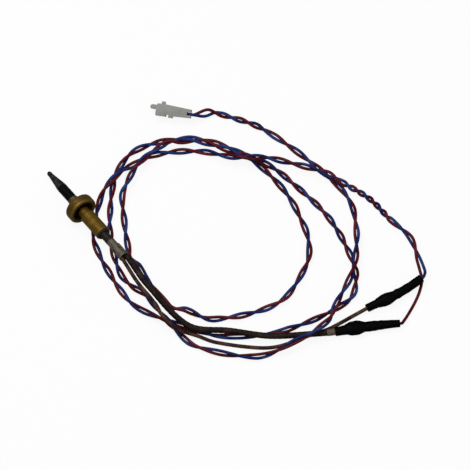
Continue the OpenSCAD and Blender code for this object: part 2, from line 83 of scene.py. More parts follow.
# Radii of the two leads' sleevings, and how far the wires' insulation swells past the CAD bars, in mm
LEAD_RADIUS = {"thin_lead_core": 1.0, "thick_lead_core": 1.6}
WIRE_SWELL = 0.06
# Strands of each braid and the length of one turn of a strand, in mm
THIN_BRAID = (12, 3.2)
THICK_BRAID = (16, 5)
# A braid's bore in mm, and how many of its outer rings share one ring of the bore
CORE_HOLD = 0.52
BORE_STEP = 12
# Spacing of a heat-shrink's rings, its wall, the reach of its rounded lip and of its open mouth, in mm
SHRINK_STEP = 0.22
SHRINK_WALL = 0.45
SHRINK_LIP = 0.25
SHRINK_MOUTH = 1.6


# ---- Places taken from the frame ----

def cad_points(node):
    """Corners of a CAD node's mesh as an array."""
    return np.array([v.co for v in frame["nodes"][node].data.vertices], float)


SLEEVE_AT = np.array(mounts["sleeve"]["pos_m"])
TIP_WAY = -np.array(mounts["sleeve"]["axis"])
SEAT = (np.array(mounts["flange_seat"]["pos_m"]) - SLEEVE_AT) @ TIP_WAY / MM
PLUG_AT = np.array(mounts["plug_front"]["pos_m"])


def span(node, start=SLEEVE_AT, way=TIP_WAY):
    """A CAD node's first and last distance along an axis and its largest and smallest radius, in mm."""
    points = (cad_points(node) - start) / MM
    along = points @ way
    out = np.linalg.norm(points - np.outer(along, way), axis=1)
    return along.min(), along.max(), out.max(), out.min()


def centreline(node, near, sides=6):
    """Middles of a CAD bar's rings, from the end nearest to a point: each step of edges is one ring."""
    mesh = bmesh.new()
    mesh.from_mesh(frame["nodes"][node].data)
    bmesh.ops.remove_doubles(mesh, verts=mesh.verts, dist=MERGE)
    near = Vector(near)
    ring = sorted(mesh.verts, key=lambda v: (v.co - near).length)[:sides]
    seen = set(ring)
    middles = []
    while ring:
        middles.append(np.mean([v.co for v in ring], axis=0))
        following = {e.other_vert(v) for v in ring for e in v.link_edges} - seen
        seen |= following
        ring = list(following)
    mesh.free()
    return np.array(middles)


def bar_radius(node):
    """Radius of a CAD bar, in mm: how near its own corners come to the middle of its first ring."""
    middle = centreline(node, PLUG_AT)[0]
    return np.linalg.norm(cad_points(node) - middle, axis=1).min() / MM


def smooth(points, spacing):
    """Points along a curve through the given ones, at most a spacing apart."""
    steps = np.linalg.norm(np.diff(points, axis=0), axis=1)
    slopes = np.empty_like(points)
    slopes[1:-1] = (points[2:] - points[:-2]) / (steps[1:] + steps[:-1])[:, None]
    slopes[0] = (points[1] - points[0]) / steps[0]
    slopes[-1] = (points[-1] - points[-2]) / steps[-1]
    out = []
    for i, step in enumerate(steps):
        count = max(1, math.ceil(step / spacing))
        for t in np.arange(count) / count:
            rise = t * t * (3 - 2 * t)
            sway = step * t * (1 - t) * ((1 - t) * slopes[i] - t * slopes[i + 1])
            out.append((1 - rise) * points[i] + rise * points[i + 1] + sway)
    out.append(points[-1])
    return np.array(out)


def lengths_along(points):
    """Distance of each point along its path."""
    return np.concatenate([[0], np.cumsum(np.linalg.norm(np.diff(points, axis=0), axis=1))])


def cut_path(points, first, last):
    """The stretch of a path between two distances along it."""
    far = lengths_along(points)
    inside = points[(far > first) & (far < last)]
    ends = [[np.interp(d, far, points[:, k]) for k in range(3)] for d in (first, last)]
    return np.vstack([ends[0], inside, ends[1]])


# ---- Meshes ----

def new_piece(name, verts, faces, uvs, body, material, replaced, sharp=SHARP):
    """A shown piece from its mesh, riding on a body in place of CAD nodes; uvs: a pair per vertex."""
    mesh = bpy.data.meshes.new(name)
    mesh.from_pydata([tuple(v) for v in verts], [], faces)
    layer = mesh.uv_layers.new(name="around_along")
    for loop in mesh.loops:
        layer.data[loop.index].uv = uvs[loop.vertex_index]
    work = bmesh.new()
    work.from_mesh(mesh)
    bmesh.ops.recalc_face_normals(work, faces=work.faces)
    finish_mesh(work, mesh, sharp)
    return show(bpy.data.objects.new(name, mesh), body, material, replaced)


def finish_mesh(work, mesh, sharp):
    """Writes a bmesh back, smooth but for edges sharper than an angle."""
    limit = math.radians(sharp)
    for face in work.faces:
        face.smooth = True
    for edge in work.edges:
        edge.smooth = not (len(edge.link_faces) == 2 and edge.calc_face_angle(0) > limit)
    work.to_mesh(mesh)
    work.free()


def show(piece, body, material, replaced):
    """Puts a piece in the scene with its material, riding on its body in place of CAD nodes."""
    bpy.context.scene.collection.objects.link(piece)
    piece.data.materials.clear()
    piece.data.materials.append(material)
    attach(piece, body)
    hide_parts(*replaced)
    return piece


def grid_faces(rows, columns, loop_rows):
    """Quads of a grid of rings; with loop_rows the last ring joins the first."""
    faces = []
    for i in range(rows if loop_rows else rows - 1):
        for k in range(columns):
            a, b = i * columns, (i + 1) % rows * columns
            n = (k + 1) % columns
            faces.append((a + k, b + k, b + n, a + n))
    return faces


def frames_along(points):
    """Level and upward directions across a path at each of its points."""
    way = np.gradient(points, axis=0)
    way /= np.linalg.norm(way, axis=1)[:, None]
    level = np.cross([0, 0, 1], way)
    level /= np.linalg.norm(level, axis=1)[:, None]
    return level, np.cross(way, level)


def rings_along(points, outline):
    """Rings across a path: outline(i) gives ring i's level and upward offsets, in mm."""
    level, upward = frames_along(points)
    rings = []
    for i, point in enumerate(points):
        x, y = outline(i)
        rings.append(point + MM * (np.outer(x, level[i]) + np.outer(y, upward[i])))
    return rings


def round_outline(radii, sides):
    """An outline function for plain round rings, with one radius in mm for each."""
    angles = 2 * math.pi * np.arange(sides) / sides
    return lambda i: (radii[i] * np.cos(angles), radii[i] * np.sin(angles))


def ring_uvs(points, sides):
    """Around as a share of a turn and along in mm, for each ring's points."""
    far = lengths_along(points) / MM
    return [(k / sides, f) for f in far for k in range(sides)]


def swept(name, points, radius, sides, material, replaced):
    """A solid round bar along a path, with rounded ends."""
    dome = [(1, 0), (0.94, 0.3), (0.75, 0.62), (0.4, 0.9)]
    depth = 0.3 * radius * MM
    head, tail = points[0], points[-1]
    first = (points[1] - head) / np.linalg.norm(points[1] - head)
    last = (tail - points[-2]) / np.linalg.norm(tail - points[-2])
    front = [head + first * depth * (1 - lift) for _, lift in dome[::-1]]
    back = [tail - last * depth * (1 - lift) for _, lift in dome]
    path = np.vstack([front, points[1:-1], back])
    widths = [w for w, _ in dome]
    radii = radius * np.array(widths[::-1] + [1] * (len(points) - 2) + widths)
    rings = rings_along(path, round_outline(radii, sides))
    faces = grid_faces(len(rings), sides, False)
    faces.append(tuple(range(sides))[::-1])
    faces.append(tuple((len(rings) - 1) * sides + k for k in range(sides)))
    new_piece(name, np.vstack(rings), faces, ring_uvs(path, sides), CABLE, material, replaced)


def turned(name, outline, slot, material, replaced, start=SLEEVE_AT, way=TIP_WAY, dent=None,
           sides=LATHE_SIDES):
    """A turned piece about an axis. outline is a closed loop of (distance, radius) in mm, or an open
    one from axis to axis; dent(distance, angle, radius) is how far the surface is pushed in, in mm."""
    side = np.cross([0, 0, 1], way)
    side /= np.linalg.norm(side)
    lift = np.cross(way, side)
    closed = outline[0] != outline[-1] and outline[0][1] > 0
    verts, uvs = [], []
    for far, radius in outline:
        for k in range(sides):
            angle = 2 * math.pi * k / sides
            out = radius - (dent(far, angle, radius) if dent else 0)
            place = far * way + out * (math.cos(angle) * side + math.sin(angle) * lift)
            verts.append(start + MM * place)
            uvs.append((k / sides, far))
    faces = grid_faces(len(outline), sides, closed)
    piece = new_piece(name, verts, faces, uvs, CABLE, material, replaced)
    work = bmesh.new()
    work.from_mesh(piece.data)
    bmesh.ops.remove_doubles(work, verts=work.verts, dist=MERGE)
    finish_mesh(work, piece.data, SHARP)


def rounded(corners, steps=5):
    """A finely stepped outline from (distance, radius, rounding) corners, cut back by the rounding."""
    out = []
    count = len(corners)
    for i, (far, radius, cut) in enumerate(corners):
        here = np.array([far, radius])
        if cut == 0:
            out.append(tuple(here))
            continue
        before = np.array(corners[i - 1][:2]) - here
        after = np.array(corners[(i + 1) % count][:2]) - here
        begin = here + before * min(0.49, cut / np.linalg.norm(before))
        end = here + after * min(0.49, cut / np.linalg.norm(after))
        for t in np.linspace(0, 1, steps):
            out.append(tuple((1 - t) ** 2 * begin + 2 * t * (1 - t) * here + t * t * end))
    return out


def fine(outline, step, closed=True):
    """The outline with long stretches cut to steps, in mm, so that dents have points to move."""
    out = []
    ends = list(zip(outline, outline[1:] + outline[:1] if closed else outline[1:]))
    for a, b in ends:
        a, b = np.array(a), np.array(b)
        count = max(1, math.ceil(np.linalg.norm(b - a) / step))
        out += [tuple(a + (b - a) * k / count) for k in range(count)]
    return out if closed else out + [outline[-1]]


def softened(name, node, width, body, material):
    """A CAD node's shape with its flat faces joined and its edges rounded."""
    work = bmesh.new()
    work.from_mesh(frame["nodes"][node].data)
    bmesh.ops.remove_doubles(work, verts=work.verts, dist=MERGE)
    flat = math.radians(1)
    bmesh.ops.dissolve_limit(work, angle_limit=flat, verts=work.verts, edges=work.edges)
    sharp = [e for e in work.edges if e.is_manifold and e.calc_face_angle(0) > math.radians(25)]
    bmesh.ops.bevel(work, geom=sharp, offset=width * MM, offset_type="OFFSET", segments=3, profile=0.5,
                    affect="EDGES", clamp_overlap=True)
    bmesh.ops.recalc_face_normals(work, faces=work.faces)
    mesh = bpy.data.meshes.new(name)
    finish_mesh(work, mesh, 50)
    show(bpy.data.objects.new(name, mesh), body, material, [node])


# ---- Materials ----

def srgb(red, green, blue):
    """A displayed colour, 0 to 255, as the linear colour that a shader takes."""
    share = [c / 255 for c in (red, green, blue)]
    return tuple(c / 12.92 if c <= 0.04045 else ((c + 0.055) / 1.055) ** 2.4 for c in share) + (1.0,)


def add(tree, kind, inputs=(), **settings):
    """A node with its settings; inputs are (name or number, value or socket) pairs."""
    made = tree.nodes.new(kind)
    for key, value in settings.items():
        setattr(made, key, value)
    for key, value in inputs:
        if isinstance(value, bpy.types.NodeSocket):
            tree.links.new(value, made.inputs[key])
        else:
            made.inputs[key].default_value = value
    return made


def place_mm(tree, way=None):
    """The surface's place in mm, turned so that z runs along way."""
    place = add(tree, "ShaderNodeTexCoord").outputs["Object"]
    turn = (0, 0, 0)
    if way is not None:
        turn = Vector(way).to_track_quat("Z", "Y").inverted().to_euler()
    settings = [("Vector", place), ("Rotation", turn), ("Scale", (1 / MM,) * 3)]
    return add(tree, "ShaderNodeMapping", settings).outputs["Vector"]


def stretched(tree, place, scale):
    """A place scaled along each axis: a small scale draws a pattern out along it."""
    return add(tree, "ShaderNodeMapping", [("Vector", place), ("Scale", scale)]).outputs["Vector"]


def patches(tree, place, size, detail=3, rough=0.55):
    """Noise with features of about a size, in mm."""
    made = add(tree, "ShaderNodeTexNoise",
               [("Vector", place), ("Scale", 1 / size), ("Detail", detail), ("Roughness", rough)])
    return made.outputs["Fac"]


def ramp(tree, value, stops):
    """Colours or greys at shares of a value."""
    made = add(tree, "ShaderNodeValToRGB", [("Fac", value)])
    elements = made.color_ramp.elements
    while len(elements) < len(stops):
        elements.new(0.5)
    for element, (at, colour) in zip(elements, stops):
        element.position = at
        element.color = colour if isinstance(colour, tuple) else (colour, colour, colour, 1)
    return made.outputs["Color"]


def blend(tree, share, low, high, how="MIX"):
    """Two colours mixed by a share. Inputs 0, 6 and 7 are the mix node's share and its colours."""
    made = add(tree, "ShaderNodeMix", data_type="RGBA", blend_type=how)
    for slot, value in ((0, share), (6, low), (7, high)):
        if isinstance(value, bpy.types.NodeSocket):
            tree.links.new(value, made.inputs[slot])
        else:
            made.inputs[slot].default_value = value
    return made.outputs[2]


def maths(tree, operation, a, b=0.0):
    """A sum, product or other operation on values or sockets."""
    return add(tree, "ShaderNodeMath", [(0, a), (1, b)], operation=operation).outputs[0]


def relief(tree, height, depth, below=None):
    """A bump whose height of 1 stands for a depth in mm."""
    inputs = [("Height", height), ("Distance", depth * MM), ("Strength", 1.0)]
    if below is not None:
        inputs.append(("Normal", below))
    return add(tree, "ShaderNodeBump", inputs).outputs["Normal"]


def finish(name, build, **values):
    """A material with plain Principled values, then what build(tree) returns by input."""
    made = bpy.data.materials.new(name)
    made.use_nodes = True
    tree = made.node_tree
    surface = tree.nodes["Principled BSDF"]
    for key, value in values.items():
        surface.inputs[key.replace("_", " ")].default_value = value
    for key, value in build(tree).items():
        if isinstance(value, bpy.types.NodeSocket):
            tree.links.new(value, surface.inputs[key])
        else:
            surface.inputs[key].default_value = value
    return made


def out_from_axis(tree, place):
    """The surface's distance from the axis that z runs along."""
    flat = stretched(tree, place, (1, 1, 0))
    return add(tree, "ShaderNodeVectorMath", [(0, flat)], operation="LENGTH").outputs["Value"]


def between_marks(tree, value, low, high, top=1.0, bottom=0.0):
    """A share that goes from bottom at the low mark to top at the high mark."""
    settings = [("Value", value), (1, low), (2, high), (3, bottom), (4, top)]
    return add(tree, "ShaderNodeMapRange", settings).outputs[0]


def edge_glow(tree):
    """A value that is high on worn outer edges."""
    pointed = add(tree, "ShaderNodeNewGeometry").outputs["Pointiness"]
    return ramp(tree, pointed, [(0.5, 0.0), (0.56, 1.0)])


def brass_look(tree):
    """Old brass: patches and stains, redder towards the flange, and painted shade in the flange's
    recess.
    """
    place = place_mm(tree, TIP_WAY)
    along = add(tree, "ShaderNodeSeparateXYZ", [("Vector", place)]).outputs["Z"]
    big = patches(tree, place, 3.2, 2, 0.5)
    small = patches(tree, place, 0.7, 4, 0.6)
    colour = ramp(tree, big, [(0.3, OLIVE_BRASS), (0.5, YELLOW_BRASS), (0.68, ORANGE_BRASS)])
    stains = ramp(tree, small, [(0.42, 0.0), (0.66, 1.0)])
    colour = blend(tree, maths(tree, "MULTIPLY", stains, 0.45), colour, BROWN_BRASS)
    colour = blend(tree, between_marks(tree, along, *REAR_TINT, 0.22), colour, ORANGE_BRASS)
    colour = blend(tree, between_marks(tree, along, *HEAD_TINT, 0.6), colour, HEAD_BRASS)
    colour = blend(tree, maths(tree, "MULTIPLY", edge_glow(tree), 0.22), colour, BRIGHT_BRASS)
    # Painted shade: the flange's recess is darkened as if it lay in the neck's shadow.
    inside_rim = between_marks(tree, out_from_axis(tree, place), *RECESS_RIM)
    recess = maths(tree, "MULTIPLY", between_marks(tree, along, *RECESS_MOUTH), inside_rim)
    recess = maths(tree, "MULTIPLY", recess, between_marks(tree, along, *RECESS_FLOOR))
    colour = blend(tree, recess, colour, HOLLOW_SHADE)
    turning = patches(tree, stretched(tree, place, (0.02, 0.02, 1)), 0.14, 2, 0.6)
    normal = relief(tree, turning, 0.012)
    normal = relief(tree, small, 0.02, normal)
    shine = ramp(tree, small, [(0.3, 0.4), (0.7, 0.6)])
    return {"Base Color": colour, "Roughness": shine, "Normal": normal}


def steel_look(dark, light, patch=1.5, grain=0.1, low=0.4, high=0.6, line=None, hollow=None):
    """Tarnished steel. Behind an optional line along the probe it turns to another pair of colours, and
    within an optional radius, in hollows, it is darkened with painted shade."""
    def build(tree):
        place = place_mm(tree, TIP_WAY)
        mottle = patches(tree, place, patch, 4, 0.6)
        colour = ramp(tree, mottle, [(0.35, dark), (0.65, light)])
        if line is not None:
            at, dark_past, light_past, soft = line
            along = add(tree, "ShaderNodeSeparateXYZ", [("Vector", place)]).outputs["Z"]
            past = between_marks(tree, along, at + soft, at - soft)
            colour_past = ramp(tree, mottle, [(0.35, dark_past), (0.65, light_past)])
            colour = blend(tree, past, colour, colour_past)
        if hollow is not None:
            # Painted shade: hollows within the radius are darkened.
            deep = between_marks(tree, out_from_axis(tree, place), hollow - 0.12, hollow - 0.4, 0.7)
            colour = blend(tree, deep, colour, HOLLOW_SHADE)
        turning = patches(tree, stretched(tree, place, (0.02, 0.02, 1)), grain, 2, 0.6)
        normal = relief(tree, turning, 0.01)
        normal = relief(tree, mottle, 0.03, normal)
        shine = ramp(tree, mottle, [(0.3, low), (0.7, high)])
        return {"Base Color": colour, "Roughness": shine, "Normal": normal}
    return build


def wire_look(deep, pale_patches):
    """Plastic insulation: an even colour with faint drawn streaks, and paler, rougher patches of dust
    and painted sheen.
    """
    def build(tree):
        place = place_mm(tree)
        # Paler patches: dust and painted sheen.
        dust_and_sheen = patches(tree, place, 9, 3, 0.6)
        colour = blend(tree, ramp(tree, dust_and_sheen, [(0.45, 0.0), (0.66, 1.0)]), deep, pale_patches)
        fine_grain = patches(tree, place, 0.25, 2, 0.5)
        return {"Base Color": colour, "Roughness": ramp(tree, dust_and_sheen, [(0.35, 0.32), (0.7, 0.5)]),
                "Normal": relief(tree, fine_grain, 0.004)}
    return build


def around_along(tree):
    """A sleeving's place as a point on a circle with its length: no seam shows in a pattern on it."""
    parts = add(tree, "ShaderNodeSeparateXYZ", [("Vector", add(tree, "ShaderNodeUVMap").outputs["UV"])])
    angle = maths(tree, "MULTIPLY", parts.outputs["X"], 2 * math.pi)
    return angle, parts.outputs["Y"]


def braid_look(dark, light, strands, pitch):
    """Braided sleeving: two sets of yarns that cross, with painted shade between them and a painted
    highlight on them, and lighter streaks of painted sheen.
    """
    def build(tree):
        angle, far = around_along(tree)
        turn = maths(tree, "MULTIPLY", far, 2 * math.pi / pitch)
        around = maths(tree, "MULTIPLY", angle, strands / 2)
        waves = [maths(tree, "SINE", maths(tree, way, around, turn)) for way in ("ADD", "SUBTRACT")]
        weave = maths(tree, "MULTIPLY", *waves)
        place = place_mm(tree)
        # Lighter, smoother patches: painted sheen.
        pale_patches = patches(tree, place, 4.5, 4, 0.6)
        colour = blend(tree, ramp(tree, pale_patches, [(0.4, 0.0), (0.68, 1.0)]), dark, light)
        # Painted shade between the yarns and a painted highlight on their crowns.
        painted_weave_shading = between_marks(tree, weave, -1.0, 1.0, 1.15, 0.55)
        colour = blend(tree, 1.0, colour, painted_weave_shading, "MULTIPLY")
        fibre = patches(tree, place, 0.12, 2, 0.6)
        return {"Base Color": colour, "Roughness": ramp(tree, pale_patches, [(0.35, 0.62), (0.7, 0.42)]),
                "Normal": relief(tree, fibre, 0.02)}
    return build


def shrink_look(tree):
    """Matt black heat-shrink."""
    place = place_mm(tree)
    cloud = patches(tree, place, 3.5, 3, 0.55)
    grain = patches(tree, place, 0.16, 2, 0.6)
    colour = ramp(tree, cloud, [(0.3, srgb(1, 1, 2)), (0.75, srgb(4, 4, 6))])
    normal = relief(tree, cloud, 0.05)
    return {"Base Color": colour, "Roughness": ramp(tree, cloud, [(0.3, 0.42), (0.7, 0.6)]),
            "Normal": relief(tree, grain, 0.006, normal)}


def nylon_look(tree):
    """Pale grey moulded plastic."""
    place = place_mm(tree)
    cloud = patches(tree, place, 4, 3, 0.5)
    grain = patches(tree, place, 0.12, 2, 0.6)
    colour = ramp(tree, cloud, [(0.3, srgb(157, 157, 151)), (0.7, srgb(170, 169, 164))])
    return {"Base Color": colour, "Roughness": ramp(tree, cloud, [(0.3, 0.42), (0.7, 0.52)]),
            "Normal": relief(tree, grain, 0.006)}


def mottled_look(dark, light, low, high):
    """A plain surface with small patches; low and high are its roughnesses."""
    def build(tree):
        place = place_mm(tree)
        mottle = patches(tree, place, 0.8, 4, 0.6)
        return {"Base Color": ramp(tree, mottle, [(0.35, dark), (0.65, light)]),
                "Roughness": ramp(tree, mottle, [(0.3, low), (0.7, high)]),
                "Normal": relief(tree, mottle, 0.01)}
    return build


def ceramic_look(tree):
    """Pale woven glass fibre."""
    place = place_mm(tree, TIP_WAY)
    weave = patches(tree, stretched(tree, place, (1, 1, 0.3)), 0.3, 3, 0.6)
    colour = ramp(tree, weave, [(0.3, srgb(190, 180, 160)), (0.7, srgb(225, 218, 200))])
    return {"Base Color": colour, "Roughness": ramp(tree, weave, [(0.3, 0.7), (0.7, 0.9)]),
            "Normal": relief(tree, weave, 0.05)}


# Where brass changes colour: none and all of the change, in mm along the probe or, for the rim, out
REAR_TINT = (0.6, -0.6)
HEAD_TINT = (9.5, 11.5)
# The recess marks bound the painted shade in the flange's recess.
RECESS_RIM = (5.6, 5.1)
RECESS_MOUTH = (10.4, 11.3)
RECESS_FLOOR = (13.2, 12.7)
OLIVE_BRASS = srgb(122, 99, 33)
YELLOW_BRASS = srgb(146, 116, 38)
ORANGE_BRASS = srgb(138, 96, 34)
BROWN_BRASS = srgb(64, 45, 18)
HEAD_BRASS = srgb(104, 70, 34)
BRIGHT_BRASS = srgb(205, 175, 90)
# Painted shade for the flange's recess and for the ferrule's crimp dents.
HOLLOW_SHADE = srgb(22, 12, 4)
# Where the tail tube and the sheath change colour, in mm along the probe
TUBE_LINE = -13.8
TAPER_LINE = span("electrode_insulator")[1]
FERRULE_RADIUS = span("crimp_ferrule")[2]

looks = {
    "hot_alloy": finish("hot_alloy", steel_look(srgb(22, 24, 24), srgb(46, 49, 48), 0.9), Metallic=0.35,
                        Specular_IOR_Level=0.3),
    "sheath_black": finish(
        "sheath_black",
        steel_look(srgb(26, 28, 27), srgb(64, 67, 63), 2.2, 0.1, 0.42, 0.62,
                   (TAPER_LINE, srgb(2, 4, 2), srgb(11, 14, 11), 0.5)),
        Metallic=0.2, Specular_IOR_Level=0.1),
    "steel_dark": finish("steel_dark", steel_look(srgb(90, 85, 60), srgb(126, 119, 88)), Metallic=0.7),
    "steel_tube": finish(
        "steel_tube",
        steel_look(srgb(40, 34, 28), srgb(58, 51, 44),
                   line=(TUBE_LINE, srgb(104, 98, 84), srgb(136, 128, 110), 0.05)),
        Metallic=0.65),
    # Crimp dents darkened with painted shade.
    "steel_crimped": finish(
        "steel_crimped", steel_look(srgb(100, 92, 80), srgb(136, 126, 110), hollow=FERRULE_RADIUS),
        Metallic=0.65),
    "brass": finish("brass", brass_look, Metallic=0.85),
    "electrode": finish(
        "electrode", mottled_look(srgb(150, 145, 135), srgb(185, 180, 170), 0.3, 0.45), Metallic=1.0),
    "seal": finish("seal", mottled_look(srgb(14, 13, 12), srgb(30, 27, 24), 0.6, 0.8)),
    "ceramic": finish("ceramic", ceramic_look),
    # The lighter patch colours stand for painted sheen on the sleeving.
    "lead_thin": finish("lead_thin", braid_look(srgb(42, 21, 14), srgb(112, 77, 58), *THIN_BRAID),
                        Specular_IOR_Level=0.2),
    "lead_thick": finish("lead_thick", braid_look(srgb(17, 9, 6), srgb(58, 40, 30), *THICK_BRAID),
                         Specular_IOR_Level=0.2),
    "clear_tube": finish("clear_tube", mottled_look(srgb(84, 70, 56), srgb(118, 102, 84), 0.15, 0.3)),
    "copper": finish(
        "copper", mottled_look(srgb(170, 100, 60), srgb(205, 135, 90), 0.3, 0.5), Metallic=1.0),
    "tinned": finish(
        "tinned", mottled_look(srgb(170, 168, 160), srgb(205, 203, 196), 0.25, 0.4), Metallic=1.0),
    "heatshrink": finish("heatshrink", shrink_look, Specular_IOR_Level=0.05),
    # The paler patch colours stand for dust and painted sheen.
    "wire_red": finish(
        "wire_red", wire_look(srgb(86, 4, 13), srgb(110, 30, 44)), Specular_IOR_Level=0.14),
    "wire_blue": finish(
        "wire_blue", wire_look(srgb(17, 29, 92), srgb(46, 70, 138)), Specular_IOR_Level=0.14),
    "nylon": finish("nylon", nylon_look),
}


def turn_piece(name, outline, slot, node, **more):
    """A turned piece in place of one CAD node, with the look of its slot."""
    turned(name, outline, slot, looks[slot], [node], **more)


# ---- Sensing tip ----

def uneven(depth, size, seed):
    """A dent function: gentle hollows of a depth and size, in mm."""
    def dent(far, angle, radius):
        place = Vector((radius * math.cos(angle), radius * math.sin(angle), far)) / size
        return depth * noise.noise(place + Vector((seed, 0, 0)))
    return dent


def outer_only(dent, limit):
    """A dent function that leaves a bore alone."""
    return lambda far, angle, radius: dent(far, angle, radius) if radius > limit else 0


def tip_bead():
    low, high, radius, _ = span("tip_weld")
    turns = np.linspace(0, math.pi / 2, 18)[:-1]
    arc = [(low + radius + radius * math.sin(a), radius * math.cos(a)) for a in turns]
    start = [
        (low, 0), (low, radius * 0.9), (low + 0.12, radius * 0.99), (low + radius * 0.5, radius * 1.02)
    ]
    outline = fine(start, 0.3, False) + arc + [(high, 0)]
    turn_piece("tip_bead", outline, "hot_alloy", "tip_weld", dent=uneven(0.05, 0.9, 3), sides=64)


def tip_sheath():
    low, high, radius, _ = span("sheath")
    _, collar_high, _, shank = span("sheath_collar")
    _, taper_start, insulator, _ = span("electrode_insulator")
    bore = insulator + GAP
    end_radius = span("tip_weld")[2]
    shank -= GAP
    tip_bore = span("inner_electrode")[2] + GAP
    corners = [
        (low, shank, 0.1), (collar_high, shank, 0), (collar_high, radius, 0.15),
        (taper_start, radius, 1.2), (high, end_radius, 0.1), (high, tip_bore, 0),
        (high - 2, tip_bore, 0), (taper_start, bore, 0), (low, bore, 0)
    ]
    turn_piece("tip_sheath", fine(rounded(corners), 0.5), "sheath_black", "sheath",
               dent=outer_only(uneven(0.05, 1.7, 1), bore + 0.4))


def collar():
    low, high, radius, bore = span("sheath_collar")
    corners = [(low, bore, 0), (low, radius, 0.15), (high, radius, 0.25), (high, bore, 0)]
    turn_piece("collar", fine(rounded(corners), 0.6), "steel_dark", "sheath_collar",
               dent=outer_only(uneven(0.04, 1.2, 5), bore + 0.2))


# ---- Brass body ----

def scored(at, radius, depth, reaches, roundings):
    """Corners of a fine groove around a piece: how far its edge and its floor reach, each way."""
    edge, bottom = reaches
    edge_round, bottom_round = roundings
    return [
        (at - edge, radius, edge_round), (at - bottom, radius - depth, bottom_round),
        (at + bottom, radius - depth, bottom_round), (at + edge, radius, edge_round)
    ]


def flange():
    low, front, radius, bore = span("flange_hub")
    neck = mounts["retaining_groove"]["dims"]["r_mm"]
    sleeve_front = span("mounting_sleeve")[1]
    spigot = span("support_tube")[2] + 0.1
    shank = span("sheath_collar")[3]
    rim = radius - 2.2
    recess = 2.0
    relief_end = sleeve_front + 0.8
    relief_radius = neck - 0.45
    shank_back = span("sheath")[0]
    corners = [
        (low, bore, 0), (low, spigot, 0.2), (sleeve_front, spigot, 0), (sleeve_front, relief_radius, 0),
        (relief_end, relief_radius, 0.1), (relief_end, neck, 0.12), (SEAT + recess, neck, 0.5),
        (SEAT + recess, rim, 0.6), (SEAT, rim + 0.1, 0.5), (SEAT, radius, 1.1), (front, radius, 1.1),
        (front, radius - 1.6, 0.5), (front - 0.25, radius - 2.1, 0.5), (front - 0.25, shank + 1.6, 0.4),
        (front, shank + 1, 0.3), (front, shank, 0), (shank_back, shank, 0), (shank_back, bore, 0)
    ]
    turn_piece("flange", fine(rounded(corners), 0.5), "brass", "flange_hub",
               dent=outer_only(uneven(0.03, 1.6, 7), neck - 0.2), sides=160)


def sleeve():
    low, high, radius, bore = span("mounting_sleeve")
    spigot = span("support_tube")[2] + 0.13
    spigot_back = span("flange_hub")[0] - GAP
    corners = [
        (low, bore, 0), (low, radius, 0.3), *scored(0.3, radius, 0.04, (0.25, 0.1), (0.06, 0.05)),
        (high, radius, 0.3), (high, spigot, 0.1), (spigot_back, spigot, 0), (spigot_back, bore, 0)
    ]
    turn_piece("sleeve", fine(rounded(corners), 0.5), "brass", "mounting_sleeve",
               dent=outer_only(uneven(0.02, 2.2, 9), spigot + 0.5))


def seal_ring():
    low, high, radius, bore = span("rear_seal_ring")
    corners = [
        (low, bore, 0), (low, radius - 0.1, 0.3), (low + 0.35, radius, 0.2), (high, radius, 0.05),
        (high, bore, 0)
    ]
    turn_piece("seal_ring", fine(rounded(corners), 0.3), "seal", "rear_seal_ring",
               dent=outer_only(uneven(0.06, 0.9, 11), bore + 0.3))


# ---- Tail ----

def tail_tube():
    low, high, radius, bore = span("support_tube")
    corners = [
        (low, bore, 0), (low, radius, 0.1), *scored(TUBE_LINE, radius, 0.08, (0.12, 0.05), (0.04, 0.04)),
        (high, radius, 0.1), (high, bore, 0)
    ]
    turn_piece("tail_tube", fine(rounded(corners), 0.5), "steel_tube", "support_tube",
               dent=outer_only(uneven(0.02, 1.4, 13), bore + 0.2))


def ferrule():
    low, high, radius, bore = span("crimp_ferrule")
    middle = (low + high) / 2
    rows = [(middle - 1.5, 0.6, 0.2), (middle + 1.3, 0.45, 0.46)]
    rough = uneven(0.04, 1.1, 15)

    def dents(far, angle, at):
        """Four crimp dents around in each of two rows."""
        deep = 0.0
        for row, turn, depth in rows:
            around = (angle - turn + math.pi / 4) % (math.pi / 2) - math.pi / 4
            near = ((far - row) / 1.1) ** 2 + (around * at / 0.8) ** 2
            deep += depth * math.exp(-near ** 2)
        return deep + rough(far, angle, at)

    corners = [(low, bore, 0.15), (low, radius, 0.35), (high, radius, 0.3), (high, bore, 0)]
    outline = fine(rounded(corners), 0.2)
    turned("ferrule", outline, "steel_tube", looks["steel_crimped"], ["crimp_ferrule"],
           dent=outer_only(dents, bore + 0.2), sides=144)


# ---- Leads ----

